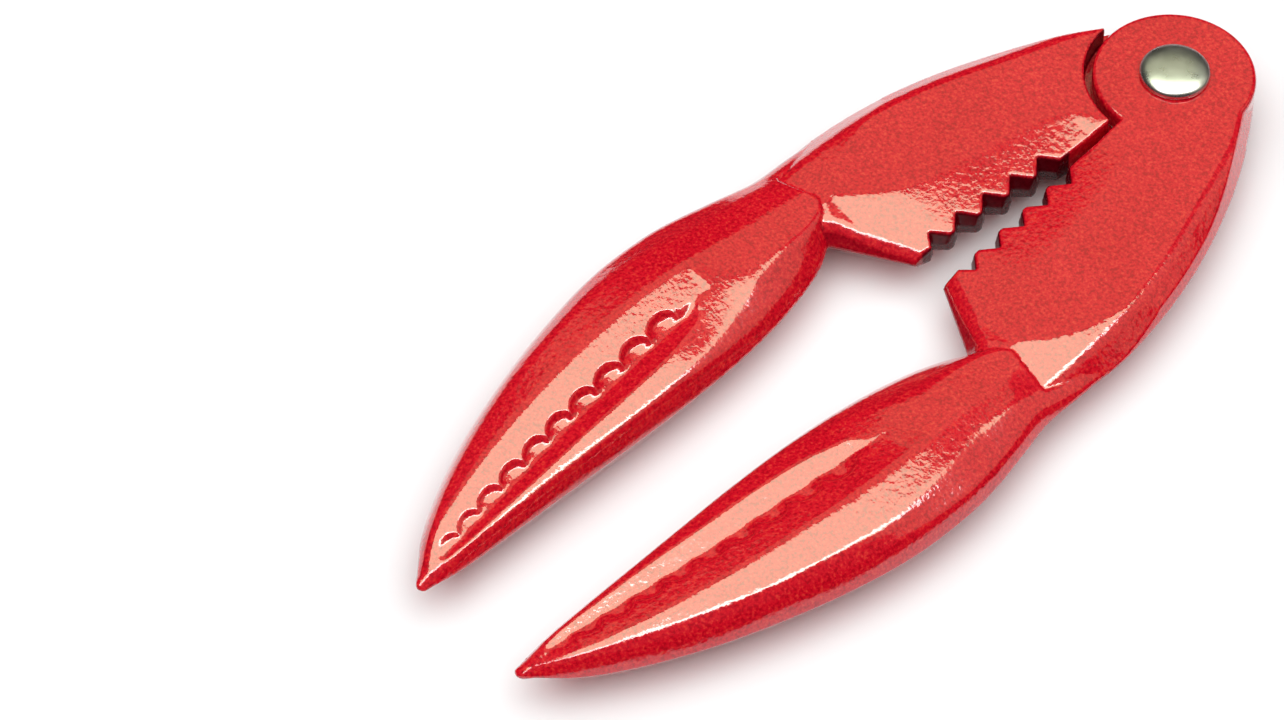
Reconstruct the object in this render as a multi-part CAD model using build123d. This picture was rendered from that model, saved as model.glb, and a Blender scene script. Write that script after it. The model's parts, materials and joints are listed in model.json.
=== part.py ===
from build123d import *
import math
import os

# Lobster cracker: two claw-shaped cast arms, half-lapped on one rivet.
# Origin: on the pivot axis, at the flat underside of the rivet, which is the plane it lies on.
# +Z is along the rivet. The claw tips point along -Y. The right arm is the +X one.
# An arm is drawn closed: u is the distance from the pivot towards the tip, and w is the distance
# outwards from the line where the two arms would meet. The left arm is the same casting turned over.

# Driving dimensions (mm, degrees)
PLATE_T = 8.0                    # thickness of the toothed jaw
HANDLE_T = 12.4                  # thickness of the claw handle at its fullest
MID_Z = HANDLE_T / 2             # parting plane of the castings
REST_HALF_ANGLE = 2.0            # each arm's opening from the closing line at rest

BOSS_R = 13.4                    # round pivot ear
SHOULDER_R = 14.7                # hollow shoulder that faces the other arm's ear
LAP_GAP = 0.1                    # between the two ears
SHOULDER_END = 1.5               # where the hollow shoulder meets the outer edge

SHANK_R = 3.0
PIVOT_FIT = 0.05                 # radial running clearance of the rivet in both ears
HEAD_R = 5.8
HEAD_RIM = 0.5                   # straight edge under the dome
HEAD_H = 1.9
TAIL_R = 5.2
TAIL_GAP = 0.05                  # between the set tail and the turning ear
TAIL_EDGE = 0.8

FLAT_W = 0.15                    # flat part of the jaw, beside the closing line
FLAT_END = 25.8
TOOTH_PITCH = 5.9
TOOTH_DEPTH = 2.85
TOOTH_COUNT = 5
TOOTH_RAKE = 0.035               # the tooth line opens slowly away from the closing line
BLOCK_END = (64.4, 13.6)         # inner neck corner, where the jaw block meets the handle
PLATE_END = 66.0                 # the jaw plate stops here, inside the handle

SIDE_ROUND = 3.2                 # rounding of the jaw's outer edge
FACET_TILT = 14.0                # slope of the two facets that fall away at the neck
OUTER_FACET = [(44, 26.5), (60.2, 18.4)]     # line from which the outer facet falls
INNER_FACET = [(60.2, 18.4), (48, 5.5)]      # and the inner one
REACH = 200.0                    # longer than anything it cuts

# Outline at the parting plane, as (u, w), from the ear round the outside to the tip
OUTER_EDGE = [(-8.2, 9.2), (8, 20), (28, 27.4), (46, 30.6), (64.5, 30.6), (87, 34.1),
              (110, 31.0), (132, 23.3), (148, 14.6), (155.4, 8.0)]
INNER_EDGE = [(58, 17.5), (64.5, 13.3), (70, 9.9), (80, 6.9), (92, 5.2), (112, 4.4), (148, 3.8), (155.4, 4.2)]
TIP_CENTRE = (155.4, 6.1)
TIP_R = 1.95

# The neck crease, where the raised handle starts: outer corner, point towards the pivot, inner corner
CREASE = [(63.2, 27.6), (60.2, 18.4), (64.4, 13.4)]

# Handle sections: (u, half height, fullness); 2 is an ellipse, more is squarer
SECTIONS = [(59, 4.0, 4.5), (66, 4.3, 4.2), (76, 5.2, 3.2), (87, 6.0, 2.6), (98, 6.2, 2.4),
            (110, 6.0, 2.3), (122, 5.5, 2.3), (134, 4.7, 2.2), (144, 3.85, 2.2), (151, 3.0, 2.1),
            (155.4, 2.0, 2.0)]
SECTION_STEPS = 8                # points on each quarter of a section

# Groove along the top of the handle, with a smooth inner rim and a scalloped outer rim
GROOVE_DEPTH = 1.2
GROOVE_NECK = (93.4, 14.1)       # rounded end of the groove, nearest the neck
GROOVE_INNER = [(95, 12.3), (102, 10.7), (112, 9.3), (130, 7.4), (152, 5.5)]
GROOVE_OUTER = [(95, 15.7), (112, 13.6), (130, 10.9), (152, 6.4)]
SCALLOP_START = 95.5
SCALLOP_COUNT = 10
SCALLOP_PITCH = 6.6              # first scallop, nearest the neck
SCALLOP_SHRINK = 0.26            # each scallop is this much shorter than the one before
SCALLOP_BULGE = 0.26             # of its length


def at(u, w):
    """A point of the right arm's plan."""
    return (w, -u)


def interpolate(points, u):
    """w on the smooth edge through the points, at u."""
    edge = Spline([Vector(a, b) for a, b in points])
    low, high = 0.0, 1.0
    for _ in range(30):
        middle = (low + high) / 2
        if edge.position_at(middle).X < u:
            low = middle
        else:
            high = middle
    return edge.position_at(low).Y


def prism(outline, bottom, top):
    """A straight solid on a plan outline, between two heights."""
    face = make_face(outline)
    return extrude(Pos(0, 0, bottom) * face, top - bottom, dir=(0, 0, 1))


def polygon(points):
    return Polyline([at(u, w) for u, w in points], close=True)


def tooth_line():
    """Working edge of the jaw, from the shoulder to the neck: a flat, the teeth and the block."""
    points = [(0, FLAT_W), (FLAT_END, FLAT_W)]
    for tooth in range(TOOTH_COUNT):
        root = FLAT_END + (tooth + 0.5) * TOOTH_PITCH
        crest = FLAT_END + (tooth + 1) * TOOTH_PITCH
        points.append((root, FLAT_W + (root - FLAT_END) * TOOTH_RAKE + TOOTH_DEPTH))
        points.append((crest, FLAT_W + (crest - FLAT_END) * TOOTH_RAKE))
    return points + [BLOCK_END]


def jaw_plate():
    """Flat jaw that starts inside the ear, before the teeth are cut."""
    start, end = OUTER_EDGE[0], OUTER_EDGE[5]
    outer = Spline([at(u, w) for u, w in OUTER_EDGE[:6]])
    closing = Polyline([at(*start), at(start[0], 0), at(end[0], 0), at(*end)])
    body = prism(Wire([*outer.edges(), *closing.edges()]), -PLATE_T / 2, PLATE_T / 2)
    rims = [edge for edge in body.edges() if edge.geom_type == GeomType.BSPLINE]
    return fillet(rims, SIDE_ROUND)


def facet(first, second):
    """Cutter that slopes the jaw's top down on the left of the line from one plan point to the next."""
    x1, y1 = at(*first)
    x2, y2 = at(*second)
    angle = math.degrees(math.atan2(y2 - y1, x2 - x1))
    block = Pos(0, REACH / 2, REACH / 2) * Box(REACH, REACH, REACH)
    return Pos(x1, y1, PLATE_T / 2) * Rot(Z=angle) * Rot(X=-FACET_TILT) * block


def handle_section(u, half_height, fullness):
    """Lens-shaped cross-section: an upper and a lower curve that meet at the parting plane."""
    inner = interpolate(INNER_EDGE, u)
    outer = interpolate(OUTER_EDGE, u)
    centre = (inner + outer) / 2
    half_width = (outer - inner) / 2
    curve = []
    for step in range(-SECTION_STEPS, SECTION_STEPS + 1):
        angle = math.pi / 2 * step / SECTION_STEPS
        across = math.copysign(abs(math.sin(angle)) ** (2 / fullness), step)
        height = round(abs(math.cos(angle)) ** (2 / fullness), 5)
        curve.append((centre + half_width * across, half_height * height))
    upper = Spline([(x, -u, z) for x, z in curve])
    lower = Spline([(x, -u, -z) for x, z in reversed(curve)])
    return Wire([upper, lower])


def claw_handle():
    """Crowned claw, cut square at the neck crease."""
    wires = [handle_section(*section) for section in SECTIONS]
    body = Solid.make_loft(wires)
    outer_end = (CREASE[0][0], REACH)
    inner_end = (CREASE[-1][0], -REACH)
    beyond = [outer_end, *CREASE, inner_end, (REACH, -REACH), (REACH, REACH)]
    return body & prism(polygon(beyond), -HANDLE_T, HANDLE_T)


def scallops():
    """Arcs along the outer side of the groove, from the neck to the tip."""
    cusps = []
    u = SCALLOP_START
    for count in range(SCALLOP_COUNT + 1):
        cusps.append((u, interpolate(GROOVE_OUTER, u)))
        u += SCALLOP_PITCH - SCALLOP_SHRINK * count
    arcs = []
    for (u1, w1), (u2, w2) in zip(cusps, cusps[1:]):
        bulge = SCALLOP_BULGE * (u2 - u1)
        arcs.append(ThreePointArc(at(u1, w1), at((u1 + u2) / 2, (w1 + w2) / 2 + bulge), at(u2, w2)))
    return cusps, arcs


def groove(blank):
    """Cutter for the groove: its outline's prism, less a core that lies the groove's depth down."""
    cusps, arcs = scallops()
    inner = Spline([at(u, w) for u, w in GROOVE_INNER])
    neck = ThreePointArc(at(*GROOVE_INNER[0]), at(*GROOVE_NECK), at(*cusps[0]))
    tip = Line(at(*cusps[-1]), at(*GROOVE_INNER[-1]))
    pocket = prism(Wire([*inner.edges(), *neck.edges(), *[a.edge() for a in arcs], tip.edge()]), 0, HANDLE_T)
    return pocket - Pos(0, 0, -GROOVE_DEPTH) * blank


def closing_side():
    """Everything on the far side of the jaw's working edge, as a cutter."""
    inside_handle = (PLATE_END, BLOCK_END[1] + PLATE_END - BLOCK_END[0])
    around = [(PLATE_END, REACH), (REACH, REACH), (REACH, -REACH), (0, -REACH)]
    return prism(polygon(tooth_line() + [inside_handle] + around), -HANDLE_T, HANDLE_T)


def lap():
    """Room under the right arm's ear for the other arm's ear and its turn."""
    depth = PLATE_T
    turn = Pos(0, 0, LAP_GAP / 2 - depth) * extrude(Circle(SHOULDER_R), depth)
    corners = [(SHOULDER_END, 0), (SHOULDER_END, REACH), (-REACH, REACH), (-REACH, 0)]
    return turn + prism(polygon(corners), LAP_GAP / 2 - depth, LAP_GAP / 2)


def arm():
    """The right arm, closed, with its parting plane at z = 0."""
    plate = jaw_plate() - closing_side()
    for line in (OUTER_FACET, INNER_FACET):
        cutter = facet(*line)
        plate = plate - cutter - mirror(cutter, Plane.XY)
    blank = claw_handle()
    pocket = groove(blank)
    claw = blank - pocket - mirror(pocket, Plane.XY)
    claw += Pos(*at(*TIP_CENTRE), 0) * Sphere(TIP_R)
    ear = extrude(Pos(0, 0, -PLATE_T / 2) * Circle(BOSS_R), PLATE_T)
    body = plate + ear + claw
    body -= extrude(Pos(0, 0, -PLATE_T) * Circle(SHANK_R + PIVOT_FIT), 2 * PLATE_T)
    return body - lap()


def rivet():
    """Solid rivet: a low domed head on the top ear, a shank, and a set tail under the bottom ear."""
    top = MID_Z + PLATE_T / 2
    bottom = MID_Z - PLATE_T / 2 - TAIL_GAP
    rise = HEAD_H - HEAD_RIM
    dome_r = (HEAD_R ** 2 + rise ** 2) / (2 * rise)
    arc_side = math.sqrt(dome_r ** 2 - (HEAD_R / 2) ** 2) - (dome_r - HEAD_H)
    outline = [
        Line((0, 0), (TAIL_R - TAIL_EDGE, 0)),
        RadiusArc((TAIL_R - TAIL_EDGE, 0), (TAIL_R, TAIL_EDGE), -TAIL_EDGE),
        Polyline((TAIL_R, TAIL_EDGE), (TAIL_R, bottom), (SHANK_R, bottom), (SHANK_R, top),
                 (HEAD_R, top), (HEAD_R, top + HEAD_RIM)),
        ThreePointArc((HEAD_R, top + HEAD_RIM), (HEAD_R / 2, top + arc_side), (0, top + HEAD_H)),
        Line((0, top + HEAD_H), (0, 0)),
    ]
    edges = [edge for piece in outline for edge in piece.edges()]
    profile = make_face(Wire(edges))
    return revolve(Plane.XZ * profile, axis=Axis.Z)


def placed(casting, side):
    """A casting set at its rest opening; side is 1 for the right arm, -1 for the left."""
    turned = casting if side == 1 else Rot(Y=180) * casting
    return Pos(0, 0, MID_Z) * Rot(Z=side * REST_HALF_ANGLE) * turned


def model():
    casting = arm()
    return {
        "right_arm": placed(casting, 1),
        "left_arm": placed(casting, -1),
        "pivot_rivet": rivet(),
    }


if __name__ == "__main__":
    os.makedirs("parts", exist_ok=True)
    for name, solid in model().items():
        solid.label = name
        export_step(solid, f"parts/{name}.step")
        print(name, round(solid.volume), "mm3")
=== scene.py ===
import json
import math

import bpy
import numpy as np
from mathutils import Matrix, Vector


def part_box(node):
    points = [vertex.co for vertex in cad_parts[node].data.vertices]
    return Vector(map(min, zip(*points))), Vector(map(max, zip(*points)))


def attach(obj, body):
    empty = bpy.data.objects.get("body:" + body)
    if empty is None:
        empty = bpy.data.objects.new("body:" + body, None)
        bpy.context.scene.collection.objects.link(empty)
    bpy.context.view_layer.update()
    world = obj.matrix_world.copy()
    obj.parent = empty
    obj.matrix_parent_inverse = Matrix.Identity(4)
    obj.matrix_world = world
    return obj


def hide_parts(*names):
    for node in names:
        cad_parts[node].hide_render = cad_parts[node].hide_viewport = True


# Lobster cracker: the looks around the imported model. The two enamelled castings and the rivet are
# rebuilt as fine meshes that ride on the same bodies.
# A casting is drawn closed, in millimetres, as in the CAD: u is the distance from the pivot towards
# the tip, w the distance outwards from the closing line, z the height above its parting plane.

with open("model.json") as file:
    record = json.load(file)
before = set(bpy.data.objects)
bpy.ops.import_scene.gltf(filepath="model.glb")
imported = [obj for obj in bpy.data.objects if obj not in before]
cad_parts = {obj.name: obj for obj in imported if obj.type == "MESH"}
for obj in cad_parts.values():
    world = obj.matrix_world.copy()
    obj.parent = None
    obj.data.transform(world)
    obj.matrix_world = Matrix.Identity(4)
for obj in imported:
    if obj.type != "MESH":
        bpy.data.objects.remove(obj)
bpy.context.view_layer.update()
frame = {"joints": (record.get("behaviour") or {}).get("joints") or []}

MM = 0.001
PIVOT = next(j for j in frame["joints"] if j["name"] == "arm_pivot")["pos_m"]
MID_Z = PIVOT[2]                    # parting plane of the castings
REST_HALF_ANGLE = math.radians(2.0)

VOXEL = 0.36    # mesh size of the castings, mm
RELAX_ROUNDS = 3
FINISH_ROUNDS = 2
PROBE = 0.01                        # step used to find a slope, mm
NET_LOW = (-15, -15)                # (u, w) corners and half height of the box that is meshed, mm
NET_HIGH = (159.5, 36)
NET_HALF_HEIGHT = 7
SEAM_SLOPE = 0.5                    # a point on the parting plane stays there if its wall is this steep
LEAST_SLOPE_SQUARED = 0.05
MAP_U, MAP_W, MAP_STEP = (-16.0, 160.6), (-16.0, 37.2), 0.2    # range and pitch of the tables in plan, mm

# ---------------------------------------------------------------- shape of a casting (mm)

HALF_PLATE = 4.0                    # half the thickness of the jaw
EAR_R = 13.4
EAR_EDGE = 0.7                      # rounding of the ear's rim
BORE_R = 3.05
SHOULDER_R = 14.75
SHOULDER_END = 1.3
LAP_Z = 0.05
LAP_EDGE = 0.25
JAW_START = -8.0
PLATE_END = 66.0
HANDLE_START = 50.0

OUTER_EDGE = [(-11, 7.65), (-8, 10.75), (-4, 13.7), (0, 16.2), (8, 20.6), (18, 24.9), (28, 28.1),
              (38, 30.2), (48, 31.3), (57, 31.4), (64.5, 31.1), (73, 32.4), (80, 33.6), (87, 34.05),
              (98, 33.5), (110, 31.1), (122, 27.3), (134, 22.5), (144, 17.2), (151, 12.4),
              (154.5, 8.95), (156.9, 6.45)]
INNER_EDGE = [(58, 17.5), (64.5, 13.3), (68.5, 10.7), (78.5, 7.4), (88.5, 5.6), (98.5, 4.8), (110, 4.4),
              (128, 4.15), (148, 3.85), (156, 4.4)]
TIP = (156.0, 5.6)
TIP_R = 1.2
OUTLINE_SPACING = 2.5               # between the points of an outline drawn from a curve
JAW_OUTLINE_U = (-9.6, 72)          # from u to u
HANDLE_OUTLINE_START = 52

# Rim of the jaw: a steep side up from the parting line, then a chamfer, then the flat top
SIDE_ANGLE = math.radians(66)
CHAMFER_ANGLE = math.radians(36)
CHAMFER_WIDTH = [(-11, 0.5), (-4, 0.9), (4, 1.8), (14, 3.2), (22, 3.8), (66, 3.9)]    # (u, width)
TOP_FOLD_R = 0.7

FLAT_START = -20                    # the working edge's line begins beyond the ear
FLAT_W = 0.15
FLAT_END = 25.6
TOOTH_PITCH = 5.9
TOOTH_DEPTH = 2.9
TOOTH_COUNT = 5
TOOTH_RAKE = 0.035
TOOTH_CORNER = 0.45                 # plan rounding of crests and roots
CLOSING_W = 0.08                    # nothing stands nearer to the closing line than this
BLOCK_START = (54.3, 1.1)           # the block's sloping face, at its top: from the last crest
BLOCK_END = (62.5, 14.3)            # to the inner neck corner
BLOCK_BEHIND = (72, 23)             # and on inside the handle
WALL_DRAFT = [(54.0, 0.21), (56.0, 0.62)]    # (u, how far the wall leans out for each mm down)
WALL_EDGE = [(53.5, 0.4), (56.5, 1.1)]       # (u, rounding of the wall's top edge)

OUTER_FACET = [(38, 28.2), (46, 25.6), (51, 24.3), (55, 22.2), (58, 19.8), (60.6, 17.6), (65, 14.0)]
INNER_FACET = [(62.5, 22), (60, 18.0), (56.7, 13.2), (53.2, 8.4), (50, 3.5), (47.5, -1)]
FACET_SLOPE = math.tan(math.radians(10.0))
FACET_EDGE = 0.4
FACET_LINE_ROUND = 1.2
CROWN_START = [(15, 4.5), (22, 7.5), (30, 9.3), (44, 11.0), (50, 12.5), (55, 15.5), (60, 19.5)]
CROWN_SLOPE = 0.175                 # the top falls away a little towards the teeth, from this (u, w) line
CROWN_SOFT = 1.0                    # distance over which the fall begins
CROWN_FADE_START = 13               # there is none before this u, and it is full a little further on
CROWN_FADE_LENGTH = 6

CREASE = [(50, 34), (57, 29.6), (62.8, 28.0), (63.2, 26.8), (60.9, 19.0), (64.9, 14.2), (69, 8)]
CREASE_BASE = 1.6
CREASE_SLOPE = 2.4
CREASE_SHIFT = 0.6                  # the sheet is at its base this far before the line
CREASE_LINE_ROUND = 0.6

# Lines along the handle, as (u, w, z), from the inner parting line to the outer one
INNER_SIDE = [(58, 18.4, 1.6), (66, 13.5, 1.7), (75, 10.4, 2.4), (87, 7.5, 2.5), (98, 6.0, 2.8),
              (110, 5.25, 2.8), (120, 4.95, 2.6), (130, 4.7, 2.3), (140, 4.4, 1.9), (150, 4.2, 1.4),
              (155.4, 4.7, 0.9)]
INNER_FOLD = [(58, 19, 3.9), (66, 15.6, 4.1), (75, 14.4, 4.75), (80, 13.3, 4.75), (87, 10.9, 4.15),
              (95, 8.2, 3.8), (100, 7.1, 3.8), (110, 6.15, 3.65), (120, 5.65, 3.4), (130, 5.2, 3.0),
              (140, 4.8, 2.5), (150, 4.6, 1.9), (155.4, 5.1, 1.4)]
INNER_RIM = [(58, 19.6, 4.0), (66, 16.8, 4.25), (75, 16, 5.0), (80, 15.4, 5.15), (87, 14.2, 4.8),
             (93, 13, 4.65), (100, 11, 4.75), (110, 9.5, 4.6), (120, 8.3, 4.25), (130, 7.3, 3.8),
             (140, 6.3, 3.15), (150, 5.5, 2.35), (155.4, 5.7, 1.75)]
RIDGE = [(58, 22, 4.0), (66, 22, 4.35), (76, 22.2, 5.25), (87, 22.4, 6.0), (98, 22.0, 6.18),
         (110, 20.6, 6.0), (120, 19, 5.6), (130, 16.8, 5.0), (140, 14, 4.2), (150, 10.2, 3.05),
         (155.4, 6.6, 2.0)]
OUTER_FOLD = [(50, 27.3, 2.0), (58, 27.4, 2.4), (63, 27.3, 2.9), (68, 27.0, 3.9), (77, 26.9, 4.4),
              (87, 28.3, 4.8), (98, 28.7, 5.0), (110, 27.0, 4.9), (120, 24.5, 4.5), (130, 21, 4.1),
              (140, 16.9, 3.5), (150, 11.8, 2.5), (155.4, 7.0, 1.75)]
OUTER_SIDE = [(50, 29.8, 1.0), (58, 30.0, 1.3), (64, 30.0, 1.7), (75, 31.6, 2.2), (87, 33.1, 2.6),
              (98, 32.5, 2.7), (110, 29.8, 2.6), (122, 26.0, 2.7), (134, 21.2, 2.3), (144, 16.1, 1.9),
              (151, 11.4, 1.4), (155.4, 7.4, 1.0)]
HANDLE_SIDE = math.radians(78)       # steepest that the handle's sides may be
OUTSIDE_SLOPE = 2.6                 # how steeply the height goes on falling outside the outline
LEAST_SPAN = 0.05                   # between two of the handle's lines
HANDLE_SMOOTH = 1.0                 # half width over which the folds are rounded
SOFTENING = [(-1, 0.12), (-0.6, 0.18), (-0.2, 0.2), (0.2, 0.2), (0.6, 0.18), (1, 0.12)]    # (offset, weight)
SOFTENING_ALONG = 0.3               # the same offsets along the handle, as a share of those across
TIP_START = 146.0                   # from here the handle's height rounds off to nothing
TIP_END = 157.3

# Groove along the handle: (u, w) of its valley, the step up to the hollow beside it, and the scoops
VALLEY = [(88, 16.0), (93, 15.6), (100, 14.7), (110, 13.3), (120, 12.0), (130, 10.3), (140, 8.5), (150, 6.7),
          (155.4, 6.2)]
STEP = [(90, 0.75), (100, 0.85), (120, 0.75), (140, 0.5), (150, 0.25), (154, 0.0)]
HOLLOW = [(85.5, 0.03), (88.5, 0.19), (98, 0.22), (155.4, 0.22)]    # (u, slope from the ridge to the valley)
INNER_WALL_SLOPE = 0.27
SCOOP_FLOOR_SLOPE = 0.15
NECK_END = 94.3
NECK_END_SLOPE = 0.27
NECK_END_ROUND = 0.2
SCOOP_CUSPS = [94.6, 101.2, 107.6, 113.8, 119.7, 125.4, 131.0, 136.6, 142.0, 147.0, 151.4]
SCOOP_REACH = 0.35                  # how far a scoop bites in, as a share of its length
SCOOP_WALL = 1.3
BEFORE_SCOOPS_SLOPE = 0.7           # steepest wall before the first scoop
SCOOP_MOUND = 0.75                  # how far the floor rises between two scoops, as a share of the step
GROOVE_SMOOTH = 0.35

# Painted shade: the enamel is drawn darker and with a thinner coat where shade falls, on the steep walls of
# the teeth and block and on the hollow shoulder
PAINTED_SHADE_BAND = 0.3                  # a point this near to such a wall counts as on it
PAINTED_SHADE_U = (24, 65.5)              # the toothed wall, from u to u
BLOCK_PAINTED_SHADE_U = 55.5              # from here the wall is the open side of the block, and gets less painted shade
BLOCK_PAINTED_SHADE = 0.42
SHOULDER_TOP = 0.1
STEEP_START = 0.9                   # steepness at which the shade begins, and how much more makes it full
STEEP_RANGE = 0.5


def smooth_line(points):
    """Monotone cubic through (x, y) points, as a function; straight and level beyond its ends."""
    xs, ys = (np.array(column, float) for column in zip(*points))
    steps = np.diff(xs)
    slopes = np.diff(ys) / steps
    tangents = np.concatenate([[slopes[0]], (slopes[:-1] + slopes[1:]) / 2, [slopes[-1]]])
    turning = np.concatenate([[False], slopes[:-1] * slopes[1:] <= 0, [False]])
    tangents[turning] = 0
    bound = 3 * np.minimum(np.abs(np.append(slopes, slopes[-1])), np.abs(np.insert(slopes, 0, slopes[0])))
    tangents = np.clip(tangents, -bound, bound)

    def value(x):
        x = np.clip(x, xs[0], xs[-1])
        k = np.clip(np.searchsorted(xs, x) - 1, 0, len(steps) - 1)
        h = steps[k]
        t = (x - xs[k]) / h
        keep = (1 + 2 * t) * (1 - t) ** 2 * ys[k] + t * t * (3 - 2 * t) * ys[k + 1]
        return keep + h * (t * (1 - t) ** 2 * tangents[k] - t * t * (1 - t) * tangents[k + 1])

    return value


def rounded(points, size):
    """Polyline with each inner corner replaced by a short curve."""
    made = [np.array(points[0], float)]
    for before, corner, after in zip(points, points[1:], points[2:]):
        before, corner, after = (np.array(p, float) for p in (before, corner, after))
        to_before = (before - corner) / np.linalg.norm(before - corner)
        to_after = (after - corner) / np.linalg.norm(after - corner)
        start, end = corner + size * to_before, corner + size * to_after
        for t in (0, 0.25, 0.5, 0.75, 1):
            made.append((1 - t) ** 2 * start + 2 * t * (1 - t) * corner + t * t * end)
    return np.array(made + [np.array(points[-1], float)])


def distance_to(line, u, w):
    """Distance in plan from each point to a polyline."""
    best = np.full(u.shape, 1e9)
    for (u1, w1), (u2, w2) in zip(line, line[1:]):
        du, dw = u2 - u1, w2 - w1
        t = np.clip(((u - u1) * du + (w - w1) * dw) / (du * du + dw * dw), 0, 1)
        best = np.minimum(best, (u - u1 - t * du) ** 2 + (w - w1 - t * dw) ** 2)
    return np.sqrt(best)


def meet(a, b, radius):
    """Common part of two solids, its edge rounded."""
    corner = np.hypot(np.maximum(radius + a, 0), np.maximum(radius + b, 0))
    return np.minimum(np.maximum(a, b), -radius) + corner


def mapped(value_at):
    """The same function of (u, w), read from a table of its values by cubic interpolation."""
    us = np.arange(MAP_U[0], MAP_U[1], MAP_STEP)
    ws = np.arange(MAP_W[0], MAP_W[1], MAP_STEP)
    table = value_at(*np.meshgrid(us, ws, indexing="ij"))

    def weights(t):
        return (((-0.5 * t + 1) * t - 0.5) * t, (1.5 * t - 2.5) * t * t + 1,
                ((-1.5 * t + 2) * t + 0.5) * t, (0.5 * t - 0.5) * t * t)

    def value(u, w):
        a, b = (u - MAP_U[0]) / MAP_STEP, (w - MAP_W[0]) / MAP_STEP
        i = np.clip(a.astype(int), 1, len(us) - 3)
        j = np.clip(b.astype(int), 1, len(ws) - 3)
        across = weights(b - j)
        total = 0
        for k, along in enumerate(weights(a - i)):
            row = sum(share * table[i + k - 1, j + m - 1] for m, share in enumerate(across))
            total = total + along * row
        return total

    return value


def sampled(line, start, end):
    """Points along a curve, from u to u."""
    us = np.linspace(start, end, int((end - start) / OUTLINE_SPACING) + 2)
    return list(zip(us, line(us)))


outer_edge = smooth_line(OUTER_EDGE)
inner_edge = smooth_line(INNER_EDGE)
chamfer_width = smooth_line(CHAMFER_WIDTH)


def tooth_points():
    """Working edge in plan: the flat by the ear, the teeth and the block."""
    points = [(FLAT_START, FLAT_W), (FLAT_END, FLAT_W)]
    for tooth in range(TOOTH_COUNT):
        root = FLAT_END + (tooth + 0.5) * TOOTH_PITCH
        crest = FLAT_END + (tooth + 1) * TOOTH_PITCH
        points.append((root, FLAT_W + (root - FLAT_END) * TOOTH_RAKE + TOOTH_DEPTH))
        points.append((crest, FLAT_W + (crest - FLAT_END) * TOOTH_RAKE))
    return points[:-1] + [BLOCK_START, BLOCK_END, BLOCK_BEHIND]


TOOTH_LINE = rounded(tooth_points(), TOOTH_CORNER)
JAW_LINE = sampled(outer_edge, *JAW_OUTLINE_U)
TIP_ARC = [(TIP[0] + TIP_R * math.cos(a), TIP[1] + TIP_R * math.sin(a))
           for a in np.linspace(math.pi / 4, -math.pi / 2, 9)]
HANDLE_LINE = (sampled(outer_edge, HANDLE_OUTLINE_START, TIP_ARC[0][0])[:-1] + TIP_ARC
               + sampled(inner_edge, INNER_EDGE[0][0], TIP[0])[-2::-1])


def past(line, u, w):
    """Distance past a line drawn across the jaw, towards the tip."""
    line = np.array(line, float)
    order = np.argsort(line[:, 1])
    at_height = np.interp(w, line[order, 1], line[order, 0])
    return distance_to(line, u, w) * np.where(u > at_height, 1, -1)


def jaw_drop(u, w):
    """How far the jaw's top lies below the flat: two facets at the neck."""
    fall = []
    for line in (OUTER_FACET, INNER_FACET):
        depth = past(rounded(line, FACET_LINE_ROUND), u, w)
        soft = np.where(np.abs(depth) < FACET_EDGE, (depth + FACET_EDGE) ** 2 / (4 * FACET_EDGE),
                        np.maximum(depth, 0))
        fall.append(soft * FACET_SLOPE)
    return np.maximum(*fall)


def jaw_crown(u, w):
    """How far the jaw's top falls away towards the teeth."""
    depth = np.maximum(crown_start(u) - w, 0)
    share = np.clip((u - CROWN_FADE_START) / CROWN_FADE_LENGTH, 0, 1)
    return CROWN_SLOPE * depth * depth / (depth + CROWN_SOFT) * share


def jaw_inside(u, w):
    """Distance inside the outer edge."""
    return distance_to(JAW_LINE, u, w) * np.where(w < outer_edge(u), 1, -1)


def tooth_inside(u, w):
    """Distance inside the working edge, at the top of the jaw."""
    within = w > np.interp(u, TOOTH_LINE[:, 0], TOOTH_LINE[:, 1])
    return distance_to(TOOTH_LINE, u, w) * np.where(within, 1, -1)


crown_start = smooth_line(CROWN_START)
drop_map, crown_map = mapped(jaw_drop), mapped(jaw_crown)
inside_map, tooth_map = mapped(jaw_inside), mapped(tooth_inside)


def working_wall(u, w, z):
    """The toothed side of the jaw, with its draft."""
    draft = np.interp(u, *zip(*WALL_DRAFT))
    lean = draft * (HALF_PLATE - np.abs(z))
    land = CLOSING_W + TOOTH_RAKE * np.maximum(u - FLAT_END, 0) - w
    return np.maximum(-(tooth_map(u, w) + lean) / np.sqrt(1 + draft ** 2), land)


def jaw(u, w, z):
    """The jaw's plate, with its rim and its toothed side."""
    height, drop = np.abs(z), drop_map(u, w)
    inside = inside_map(u, w)
    side = height * math.cos(SIDE_ANGLE) - inside * math.sin(SIDE_ANGLE)
    chamfer = ((height - HALF_PLATE + drop) * math.cos(CHAMFER_ANGLE)
               - (inside - chamfer_width(u)) * math.sin(CHAMFER_ANGLE))
    top = height - HALF_PLATE + np.maximum(drop, crown_map(u, w))
    body = meet(np.maximum(side, chamfer), top, TOP_FOLD_R)
    body = meet(body, working_wall(u, w, z), np.interp(u, *zip(*WALL_EDGE)))
    return np.maximum(body, np.maximum(u - PLATE_END, JAW_START - u))


HANDLE_LINES = [[smooth_line([(u, w) for u, w, _ in line]), smooth_line([(u, z) for u, _, z in line])]
                for line in (INNER_SIDE, INNER_FOLD, INNER_RIM, RIDGE, OUTER_FOLD, OUTER_SIDE)]
valley_line = smooth_line(VALLEY)
step_height = smooth_line(STEP)
hollow_slope = smooth_line(HOLLOW)
ridge_w, ridge_z = HANDLE_LINES[3]


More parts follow.
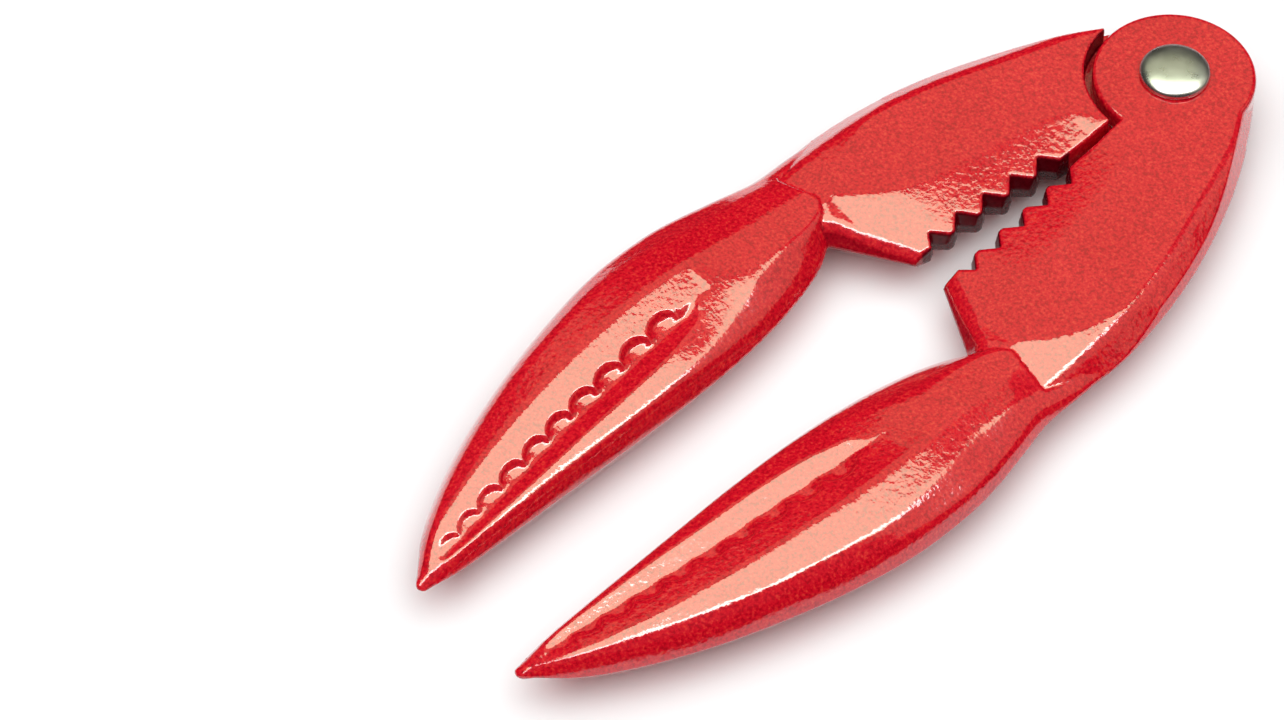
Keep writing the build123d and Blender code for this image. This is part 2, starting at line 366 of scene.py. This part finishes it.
def crown_height(u, w):
    """Height of the handle without its groove, folded along the handle's lines."""
    ws = [inner_edge(u)] + [line(u) for line, _ in HANDLE_LINES] + [outer_edge(u)]
    zs = [np.zeros(u.shape)] + [line(u) for _, line in HANDLE_LINES] + [np.zeros(u.shape)]
    height = np.where(w < ws[0], (w - ws[0]) * OUTSIDE_SLOPE, (ws[-1] - w) * OUTSIDE_SLOPE)
    for k in range(len(ws) - 1):
        span = np.maximum(ws[k + 1] - ws[k], LEAST_SPAN)
        between = (w >= ws[k]) & (w < ws[k + 1])
        height = np.where(between, zs[k] + (zs[k + 1] - zs[k]) * (w - ws[k]) / span, height)
    return height


def groove_height(u, w):
    """Height of the groove: a gentle inner wall, a hollow beside it, and scoops along its outer side."""
    across = w - valley_line(u)
    slope = hollow_slope(u)
    hollow = ridge_z(u) - slope * (ridge_w(u) - w)
    valley = ridge_z(u) - slope * (ridge_w(u) - valley_line(u)) - step_height(u)
    floor = valley + np.where(across < 0, -INNER_WALL_SLOPE * across, SCOOP_FLOOR_SLOPE * across)
    wall = np.full(u.shape, 1e9)
    for start, end in zip(SCOOP_CUSPS, SCOOP_CUSPS[1:]):
        half = (end - start) / 2
        aside = np.abs(u - (start + end) / 2) / half
        mound = step_height(u) * SCOOP_MOUND * aside ** 2 * np.clip(across, 0, 1)
        floor = np.where(aside <= 1, floor + mound, floor)
        reach = SCOOP_REACH * (end - start)
        far = np.hypot(u - (start + end) / 2, np.maximum(across, 0) * half / reach)
        wall = np.minimum(wall, (far - half) * reach / half)
    before = np.minimum(wall, BEFORE_SCOOPS_SLOPE * np.maximum(across, 0))
    wall = np.where(u < SCOOP_CUSPS[0], before, wall)
    wall = np.maximum(wall, 0)
    neck = NECK_END_SLOPE * np.maximum(NECK_END + NECK_END_ROUND * across ** 2 - u, 0)
    bottom = np.maximum(floor + wall * SCOOP_WALL, valley + neck)
    return np.where(across < 0, bottom, np.minimum(hollow, bottom))


def crease_height(u, w):
    """Sheet that ends the handle at the neck crease."""
    line = np.array(CREASE, float)[::-1]
    at_w = np.interp(w, line[:, 1], line[:, 0])
    depth = distance_to(rounded(CREASE, CREASE_LINE_ROUND), u, w) * np.where(u > at_w, 1, -1)
    return CREASE_BASE + CREASE_SLOPE * (depth + CREASE_SHIFT)


def softened(height, u, w, width):
    """A height averaged over a short distance across the handle and a shorter one along it."""
    total = 0
    for offset, weight in SOFTENING:
        total = total + weight * height(u + SOFTENING_ALONG * offset * width, w + offset * width)
    return total


def handle_height(u, w):
    """Height of the handle with its groove, rounded off at the tip and ended at the neck crease."""
    crown = softened(crown_height, u, w, HANDLE_SMOOTH)
    groove = softened(groove_height, u, w, GROOVE_SMOOTH)
    height = np.minimum(crown, groove)
    towards_tip = np.clip((u - TIP_START) / (TIP_END - TIP_START), 0, 1)
    height = np.where(height > 0, height * np.sqrt(1 - towards_tip ** 2), height)
    return np.minimum(height, crease_height(u, w))


def handle_side(u, w):
    """Distance outside the handle's outline."""
    above_inner = w > np.where(u < TIP[0], inner_edge(u), TIP[1])
    within = above_inner & (w < outer_edge(u)) & (u < TIP_ARC[0][0])
    within = within | (np.hypot(u - TIP[0], w - TIP[1]) < TIP_R)
    return distance_to(HANDLE_LINE, u, w) * np.where(within, -1, 1)


def handle_steepness(u, w):
    """Ratio of a small step along the handle's top to its level part."""
    probe = 0.2
    along = (handle_map(u + probe, w) - handle_map(u - probe, w)) / (2 * probe)
    across = (handle_map(u, w + probe) - handle_map(u, w - probe)) / (2 * probe)
    return np.sqrt(1 + along ** 2 + across ** 2)


handle_map, side_map = mapped(handle_height), mapped(handle_side)
steepness_map = mapped(handle_steepness)


def handle(u, w, z):
    """The claw-shaped handle."""
    top = (np.abs(z) - handle_map(u, w)) / steepness_map(u, w)
    side = side_map(u, w) * math.sin(HANDLE_SIDE) + np.abs(z) * math.cos(HANDLE_SIDE)
    return np.maximum(np.maximum(top, side), HANDLE_START - u)


def casting(u, w, z):
    """Signed height above the casting's surface: negative inside."""
    from_axis = np.hypot(u, w)
    ear = meet(from_axis - EAR_R, np.abs(z) - HALF_PLATE, EAR_EDGE)
    body = np.minimum(np.minimum(jaw(u, w, z), handle(u, w, z)), ear)
    turn = np.minimum(from_axis - SHOULDER_R, np.maximum(u - SHOULDER_END, -w))
    lap = np.maximum(turn, z - LAP_Z)
    body = meet(body, -lap, LAP_EDGE)
    return np.maximum(body, BORE_R - from_axis)


# ---------------------------------------------------------------- meshing

def edge_crossings(values, axis, cells):
    """Grid edges along one axis that pass through the surface, as (cells round each, crossings, flips)."""
    first = np.take(values, range(values.shape[axis] - 1), axis)
    second = np.take(values, range(1, values.shape[axis]), axis)
    edges = np.argwhere((first < 0) != (second < 0))
    a, b = first[tuple(edges.T)], second[tuple(edges.T)]
    point = edges.astype(float)
    point[:, axis] += a / (a - b)
    others = [k for k in range(3) if k != axis]
    inner = np.all([(edges[:, k] > 0) & (edges[:, k] < cells[k]) for k in others], axis=0)
    edges, point, a = edges[inner], point[inner], a[inner]
    corners = []
    for shift in ((0, 0), (1, 0), (1, 1), (0, 1)):
        cell = edges.copy()
        cell[:, others[0]] -= shift[0]
        cell[:, others[1]] -= shift[1]
        corners.append(cell)
    return corners, point, (a < 0) == (axis == 1)


def surface_net(solid, low, high, step):
    """Quad mesh of a solid given as a function of three arrays, as (points, quads)."""
    axes = [np.arange(a, b + step, step) for a, b in zip(low, high)]
    values = solid(axes[0][:, None, None] + 0 * axes[1][None, :, None],
                   axes[1][None, :, None] + 0 * axes[0][:, None, None], axes[2][None, None, :])
    cells = tuple(n - 1 for n in values.shape)
    total = np.zeros(cells + (3,))
    count = np.zeros(cells)
    crossings = []
    for axis in range(3):
        corners, point, flip = edge_crossings(values, axis, cells)
        for cell in corners:
            np.add.at(total, tuple(cell.T), point)
            np.add.at(count, tuple(cell.T), 1)
        crossings.append((corners, flip))
    used = count > 0
    number = np.full(cells, -1)
    number[used] = np.arange(used.sum())
    points = total[used] / count[used][:, None] * step + np.array([axis[0] for axis in axes])
    quads = []
    for corners, flip in crossings:
        quad = np.stack([number[tuple(cell.T)] for cell in corners], axis=1)
        quad[flip] = quad[flip][:, ::-1]
        quads.append(quad)
    return points, np.concatenate(quads)


def gradient(solid, points):
    """The solid's value at each point, and its slope there."""
    base = solid(*points.T)
    slopes = []
    for axis in range(3):
        moved = points.copy()
        moved[:, axis] += PROBE
        slopes.append((solid(*moved.T) - base) / PROBE)
    return base, np.stack(slopes, axis=1)


def settle(solid, points, reach):
    """Points moved onto the solid's surface. Those at the parting line stay in its plane."""
    value, slope = gradient(solid, points)
    steep = np.hypot(slope[:, 0], slope[:, 1]) > SEAM_SLOPE
    seam = (np.abs(points[:, 2]) < VOXEL / 2) & steep
    slope[seam, 2] = 0
    move = value[:, None] * slope / np.maximum((slope ** 2).sum(1), LEAST_SLOPE_SQUARED)[:, None]
    length = np.linalg.norm(move, axis=1, keepdims=True)
    settled = points - move * np.minimum(1, reach / np.maximum(length, 1e-9))
    settled[seam, 2] = 0
    return settled


def neighbour_mean(points, quads):
    """Mean of the points that share an edge with each point."""
    pairs = np.concatenate([quads[:, [k, (k + 1) % 4]] for k in range(4)])
    pairs = np.unique(np.sort(pairs, axis=1), axis=0)
    total, count = np.zeros(points.shape), np.zeros(len(points))
    for a, b in (pairs.T, pairs.T[::-1]):
        count += np.bincount(a, minlength=len(points))
        for axis in range(3):
            total[:, axis] += np.bincount(a, points[b, axis], minlength=len(points))
    return total / count[:, None]


def casting_mesh():
    """One casting's (points, quads), as drawn."""
    half = (math.ceil(NET_HALF_HEIGHT / VOXEL) + 0.5) * VOXEL    # the parting plane is amid a layer of cells
    low, high = (*NET_LOW, -half), (*NET_HIGH, half)
    points, quads = surface_net(casting, low, high, VOXEL)
    for _ in range(RELAX_ROUNDS):
        points = settle(casting, points, VOXEL / 2)
        points = (points + neighbour_mean(points, quads)) / 2
    for _ in range(FINISH_ROUNDS):
        points = settle(casting, points, VOXEL / 2)
    return points, quads


def placed(points, side):
    """Casting points in the model's frame, in metres: the right arm as drawn, the left one turned over."""
    local = np.stack([side * points[:, 1], -points[:, 0], side * points[:, 2]], axis=1) * MM
    turn = np.array(Matrix.Rotation(side * REST_HALF_ANGLE, 3, "Z"))
    return local @ turn.T + np.array(PIVOT)


def painted_shade_share(points):
    """Painted shade at each point, darkening the enamel and thinning its coat: 1 on the walls of the teeth
    and the hollow shoulder.
    """
    u, w, z = points.T
    _, slope = gradient(casting, points)
    steepness = np.hypot(slope[:, 0], slope[:, 1]) / (np.abs(slope[:, 2]) + 1e-6)
    steep = np.clip((steepness - STEEP_START) / STEEP_RANGE, 0, 1)
    near_wall = np.abs(working_wall(u, w, z)) < PAINTED_SHADE_BAND
    on_wall = near_wall & (u < PAINTED_SHADE_U[1]) & (u > PAINTED_SHADE_U[0])
    share = np.where(u < BLOCK_PAINTED_SHADE_U, 1.0, BLOCK_PAINTED_SHADE)
    near_shoulder = np.abs(np.hypot(u, w) - SHOULDER_R) < PAINTED_SHADE_BAND
    on_shoulder = near_shoulder & (z < SHOULDER_TOP) & (w > 0)
    return steep * np.maximum(on_wall * share, on_shoulder)


def mesh_object(name, points, faces, material):
    mesh = bpy.data.meshes.new(name)
    mesh.from_pydata(points.tolist(), [], [list(f) for f in faces])
    mesh.validate()
    mesh.shade_smooth()
    mesh.materials.append(material)
    made = bpy.data.objects.new(name, mesh)
    bpy.context.scene.collection.objects.link(made)
    return made


# ---------------------------------------------------------------- materials

PEEL_SCALE, SPECKLE_SCALE, CLOUD_SCALE = 1000, 1800, 90    # noise per metre, in the enamel
STEEL_CLOUD_SCALE, STEEL_GRAIN_SCALE = 260, 500
FLOOR_CLOUD_SCALE = 3


def new_material(name):
    material = bpy.data.materials.new(name)
    material.use_nodes = True
    nodes = material.node_tree.nodes
    return material, nodes, material.node_tree.links, nodes["Principled BSDF"]


def add(nodes, kind, **values):
    node = nodes.new(kind)
    for key, value in values.items():
        if key in node.inputs:
            node.inputs[key].default_value = value
        else:
            setattr(node, key, value)
    return node


def noise(nodes, links, coordinates, scale, detail, roughness=0.5):
    node = add(nodes, "ShaderNodeTexNoise")
    node.inputs["Scale"].default_value = scale
    node.inputs["Detail"].default_value = detail
    node.inputs["Roughness"].default_value = roughness
    links.new(coordinates, node.inputs["Vector"])
    return node.outputs["Fac"]


def ramp(nodes, links, factor, stops):
    node = nodes.new("ShaderNodeValToRGB")
    elements = node.color_ramp.elements
    while len(elements) < len(stops):
        elements.new(0.5)
    for element, (place, colour) in zip(elements, stops):
        element.position = place
        element.color = (*colour, 1)
    links.new(factor, node.inputs["Fac"])
    return node.outputs["Color"]


def red_enamel():
    material, nodes, links, shader = new_material("red_enamel")
    coordinates = nodes.new("ShaderNodeTexCoord").outputs["Object"]
    peel = noise(nodes, links, coordinates, PEEL_SCALE, 2)
    speckle = noise(nodes, links, coordinates, SPECKLE_SCALE, 3, 0.6)
    cloud = noise(nodes, links, coordinates, CLOUD_SCALE, 3)
    # Painted shade: a point attribute that darkens the base colour and thins the coat on the steep walls of
    # the teeth, block and shoulder
    painted_shade = add(nodes, "ShaderNodeAttribute", attribute_name="painted_shade").outputs["Fac"]
    colour = ramp(nodes, links, speckle, [(0.38, (0.43, 0.000, 0.008)), (0.46, (0.60, 0.001, 0.013)),
                                          (0.56, (0.66, 0.005, 0.016)), (0.68, (0.72, 0.035, 0.024))])
    tint = ramp(nodes, links, cloud, [(0.3, (0.93, 0.93, 0.93)), (0.7, (1.0, 1.0, 1.0))])
    # painted shade: the base colour is darkened where the attribute is high
    shade = ramp(nodes, links, painted_shade, [(0.0, (1.0, 1.0, 1.0)), (0.45, (0.55, 0.4, 0.7)),
                                         (1.0, (0.16, 0.1, 0.3))])
    for factor in (tint, shade):
        mixed = add(nodes, "ShaderNodeMixRGB", blend_type="MULTIPLY")
        mixed.inputs["Fac"].default_value = 1
        links.new(colour, mixed.inputs["Color1"])
        links.new(factor, mixed.inputs["Color2"])
        colour = mixed.outputs["Color"]
    links.new(colour, shader.inputs["Base Color"])
    roughness = ramp(nodes, links, cloud, [(0.3, (0.12, 0.12, 0.12)), (0.7, (0.20, 0.20, 0.20))])
    links.new(roughness, shader.inputs["Roughness"])
    # painted shade: the coat is thinned there too, so those walls show less reflection
    gloss = ramp(nodes, links, painted_shade, [(0.0, (1.0, 1.0, 1.0)), (0.5, (0.3, 0.3, 0.3)),
                                         (1.0, (0.06, 0.06, 0.06))])
    links.new(gloss, shader.inputs["Coat Weight"])
    bump = add(nodes, "ShaderNodeBump", Strength=0.9, Distance=0.00005)
    links.new(peel, bump.inputs["Height"])
    for socket in ("Normal", "Coat Normal"):
        links.new(bump.outputs["Normal"], shader.inputs[socket])
    shader.inputs["Specular IOR Level"].default_value = 0.3
    shader.inputs["Coat IOR"].default_value = 1.6
    shader.inputs["Coat Roughness"].default_value = 0.05
    return material


def polished_steel():
    material, nodes, links, shader = new_material("polished_rivet")
    coordinates = nodes.new("ShaderNodeTexCoord").outputs["Object"]
    cloud = noise(nodes, links, coordinates, STEEL_CLOUD_SCALE, 3)
    colour = ramp(nodes, links, cloud, [(0.3, (0.70, 0.61, 0.61)), (0.7, (0.80, 0.69, 0.69))])
    links.new(colour, shader.inputs["Base Color"])
    roughness = ramp(nodes, links, cloud, [(0.3, (0.24, 0.24, 0.24)), (0.7, (0.34, 0.34, 0.34))])
    links.new(roughness, shader.inputs["Roughness"])
    bump = add(nodes, "ShaderNodeBump", Strength=0.25, Distance=0.00005)
    links.new(noise(nodes, links, coordinates, STEEL_GRAIN_SCALE, 2), bump.inputs["Height"])
    links.new(bump.outputs["Normal"], shader.inputs["Normal"])
    shader.inputs["Metallic"].default_value = 1.0
    return material


def pale_floor():
    material, nodes, links, shader = new_material("pale_floor")
    coordinates = nodes.new("ShaderNodeTexCoord").outputs["Object"]
    cloud = noise(nodes, links, coordinates, FLOOR_CLOUD_SCALE, 2)
    colour = ramp(nodes, links, cloud, [(0.3, (0.86, 0.86, 0.86)), (0.7, (0.88, 0.88, 0.88))])
    links.new(colour, shader.inputs["Base Color"])
    shader.inputs["Roughness"].default_value = 0.9
    shader.inputs["Specular IOR Level"].default_value = 0.1
    return material


# ---------------------------------------------------------------- the pieces

def build_arms(material):
    points, quads = casting_mesh()
    # Painted shade: each point's share of darkening on the steep walls of the teeth, block and shoulder,
    # kept as a point attribute on both castings
    painted_shade = painted_shade_share(points)
    for side, node in ((1, "right_arm"), (-1, "left_arm")):
        arm = mesh_object(node + "_casting", placed(points, side), quads, material)
        attribute = arm.data.attributes.new("painted_shade", "FLOAT", "POINT")
        attribute.data.foreach_set("value", painted_shade.astype(np.float32))
        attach(arm, node)
        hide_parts(node)


# The rivet, in metres
RIVET_TURNS = 96
SHANK_R = 0.0030
HEAD_UNDERCUT = 0.00012             # the head's rim comes in this much at its foot
HEAD_STEPS = 14
HEAD_PLAN_POWER, HEAD_RISE_POWER = 0.95, 0.9
HEAD_RIM = 0.3                      # where the dome begins, as a share of the head's height
HEAD_FOOT = 0.15                    # and where the undercut begins
TAIL_R = 0.0052
TAIL_CHAMFER = (0.00015, 0.0002)    # at the casting
TAIL_EDGE = 0.0008
TAIL_STEPS = 6
TAIL_GAP = 0.05                     # from the casting's face to the tail, mm


def rivet_profile(head_r, top, bottom):
    """(radius, height) from the top of the domed head to the bottom of the set tail."""
    plate_top = MID_Z + HALF_PLATE * MM
    plate_bottom = MID_Z - (HALF_PLATE + TAIL_GAP) * MM
    rise = top - plate_top
    profile = [(0.0, top)]
    for k in range(1, HEAD_STEPS + 1):
        a = math.pi / 2 * k / HEAD_STEPS
        dome = HEAD_RIM + (1 - HEAD_RIM) * math.cos(a) ** HEAD_RISE_POWER
        profile.append((head_r * math.sin(a) ** HEAD_PLAN_POWER, plate_top + rise * dome))
    profile += [(head_r, plate_top + HEAD_FOOT * rise), (head_r - HEAD_UNDERCUT, plate_top),
                (SHANK_R, plate_top), (SHANK_R, plate_bottom)]
    profile += [(TAIL_R - TAIL_CHAMFER[0], plate_bottom), (TAIL_R, plate_bottom - TAIL_CHAMFER[1]),
                (TAIL_R, bottom + TAIL_EDGE)]
    for k in range(1, TAIL_STEPS + 1):
        a = math.pi / 2 * k / TAIL_STEPS
        profile.append((TAIL_R - TAIL_EDGE * (1 - math.cos(a)), bottom + TAIL_EDGE * (1 - math.sin(a))))
    return profile + [(0.0, bottom)]


def turned(profile, turns):
    """A profile turned about Z, closed at both ends, as (points, faces)."""
    points, faces = [(0, 0, profile[0][1])], []
    for radius, z in profile[1:-1]:
        for turn in range(turns):
            a = 2 * math.pi * turn / turns
            points.append((radius * math.cos(a), radius * math.sin(a), z))
    points.append((0, 0, profile[-1][1]))
    rings = len(profile) - 2
    last = 1 + (rings - 1) * turns
    for turn in range(turns):
        following = (turn + 1) % turns
        faces.append((0, 1 + turn, 1 + following))
        for ring in range(rings - 1):
            a, b = 1 + ring * turns, 1 + (ring + 1) * turns
            faces.append((a + turn, b + turn, b + following, a + following))
        faces.append((last + following, last + turn, len(points) - 1))
    return np.array(points), faces


def build_rivet(material):
    low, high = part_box("pivot_rivet")
    points, faces = turned(rivet_profile((high.x - low.x) / 2, high.z, low.z), RIVET_TURNS)
    rivet = mesh_object("rivet_polished", points, faces, material)
    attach(rivet, "right_arm")
    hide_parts("pivot_rivet")


# ---------------------------------------------------------------- floor, light and camera

CAMERA_AZIMUTH = math.radians(46.3)
CAMERA_ELEVATION = math.radians(52.0)
CAMERA_DISTANCE = 0.8
CAMERA_TARGET = Vector((-0.0172, -0.1039, 0.0102))
CAMERA_LENS = 143.6

RIGHT = Vector((math.cos(CAMERA_AZIMUTH), math.sin(CAMERA_AZIMUTH), 0))
AWAY = Vector((-math.sin(CAMERA_AZIMUTH), math.cos(CAMERA_AZIMUTH), 0))
UP = Vector((0, 0, 1))
STAGE_CENTRE = Vector((0.0, -0.075, MID_Z))
WORLD_STRENGTH = 0.03
FLOOR_HALF_SIZE, FLOOR_ROWS = 3.0, 12


def look(obj, target):
    obj.rotation_mode = "QUATERNION"
    obj.rotation_quaternion = (target - obj.location).to_track_quat("-Z", "Y")


def build_camera():
    camera = bpy.data.objects.new("camera", bpy.data.cameras.new("camera"))
    bpy.context.scene.collection.objects.link(camera)
    back = -AWAY * math.cos(CAMERA_ELEVATION) + UP * math.sin(CAMERA_ELEVATION)
    camera.location = CAMERA_TARGET + back * CAMERA_DISTANCE
    look(camera, CAMERA_TARGET)
    camera.data.lens = CAMERA_LENS
    camera.data.sensor_width = 36
    camera.data.clip_start = 0.01
    camera.data.clip_end = 20
    bpy.context.scene.camera = camera


def softbox(name, right, away, height, width, depth, radiance, shines=True, colour=(1, 1, 1), turn=0.0):
    """A level area light above the object, placed along the camera's right and away directions.

    One that shines is seen in reflections only, and the other kind only lights surfaces.
    """
    light = bpy.data.lights.new(name, "AREA")
    light.shape = "RECTANGLE"
    light.size, light.size_y = width, depth
    light.color = colour
    light.energy = radiance * math.pi * width * depth
    lamp = bpy.data.objects.new(name, light)
    bpy.context.scene.collection.objects.link(lamp)
    lamp.location = STAGE_CENTRE + RIGHT * right + AWAY * away + UP * height
    lamp.rotation_euler = (0, 0, CAMERA_AZIMUTH + turn)
    lamp.visible_glossy = shines
    lamp.visible_diffuse = not shines
    return lamp


def card(name, right, away, height, width, depth, radiance, colour=(1, 1, 1)):
    """An area light that faces the object from one side."""
    lamp = softbox(name, right, away, height, width, depth, radiance, colour=colour)
    look(lamp, STAGE_CENTRE)
    return lamp


def build_lights():
    softbox("overhead_softbox", right=0.085, away=0.175, height=1.0, width=1.07, depth=0.55,
            radiance=5.1, colour=(0.76, 1.0, 0.70))
    softbox("bright_strip", right=0.12, away=-0.07, height=0.98, width=1.25, depth=0.14,
            radiance=10.5, turn=math.radians(17))
    softbox("fill", right=0.0, away=0.0, height=1.6, width=4.0, depth=4.0, radiance=1.85, shines=False)
    card("far_card", right=0.0, away=1.25, height=1.5, width=1.4, depth=0.8,
         radiance=0.50, colour=(0.85, 1.0, 0.62))
    card("right_card", right=1.4, away=0.22, height=1.22, width=1.3, depth=1.1,
         radiance=0.5, colour=(0.85, 1.0, 0.72))
    world = bpy.data.worlds.new("studio")
    world.use_nodes = True
    background = world.node_tree.nodes["Background"]
    background.inputs["Color"].default_value = (1, 1, 1, 1)
    background.inputs["Strength"].default_value = WORLD_STRENGTH
    bpy.context.scene.world = world


def build_floor():
    line = np.linspace(-FLOOR_HALF_SIZE, FLOOR_HALF_SIZE, FLOOR_ROWS + 1)
    points = np.array([(x, y, 0) for y in line for x in line])
    across = len(line)
    corners = [row * across + column for row in range(FLOOR_ROWS) for column in range(FLOOR_ROWS)]
    faces = [(a, a + 1, a + across + 1, a + across) for a in corners]
    mesh_object("floor", points, faces, pale_floor())


build_camera()
build_floor()
build_lights()
build_arms(red_enamel())
build_rivet(polished_steel())
bpy.context.scene.view_settings.view_transform = "Standard"
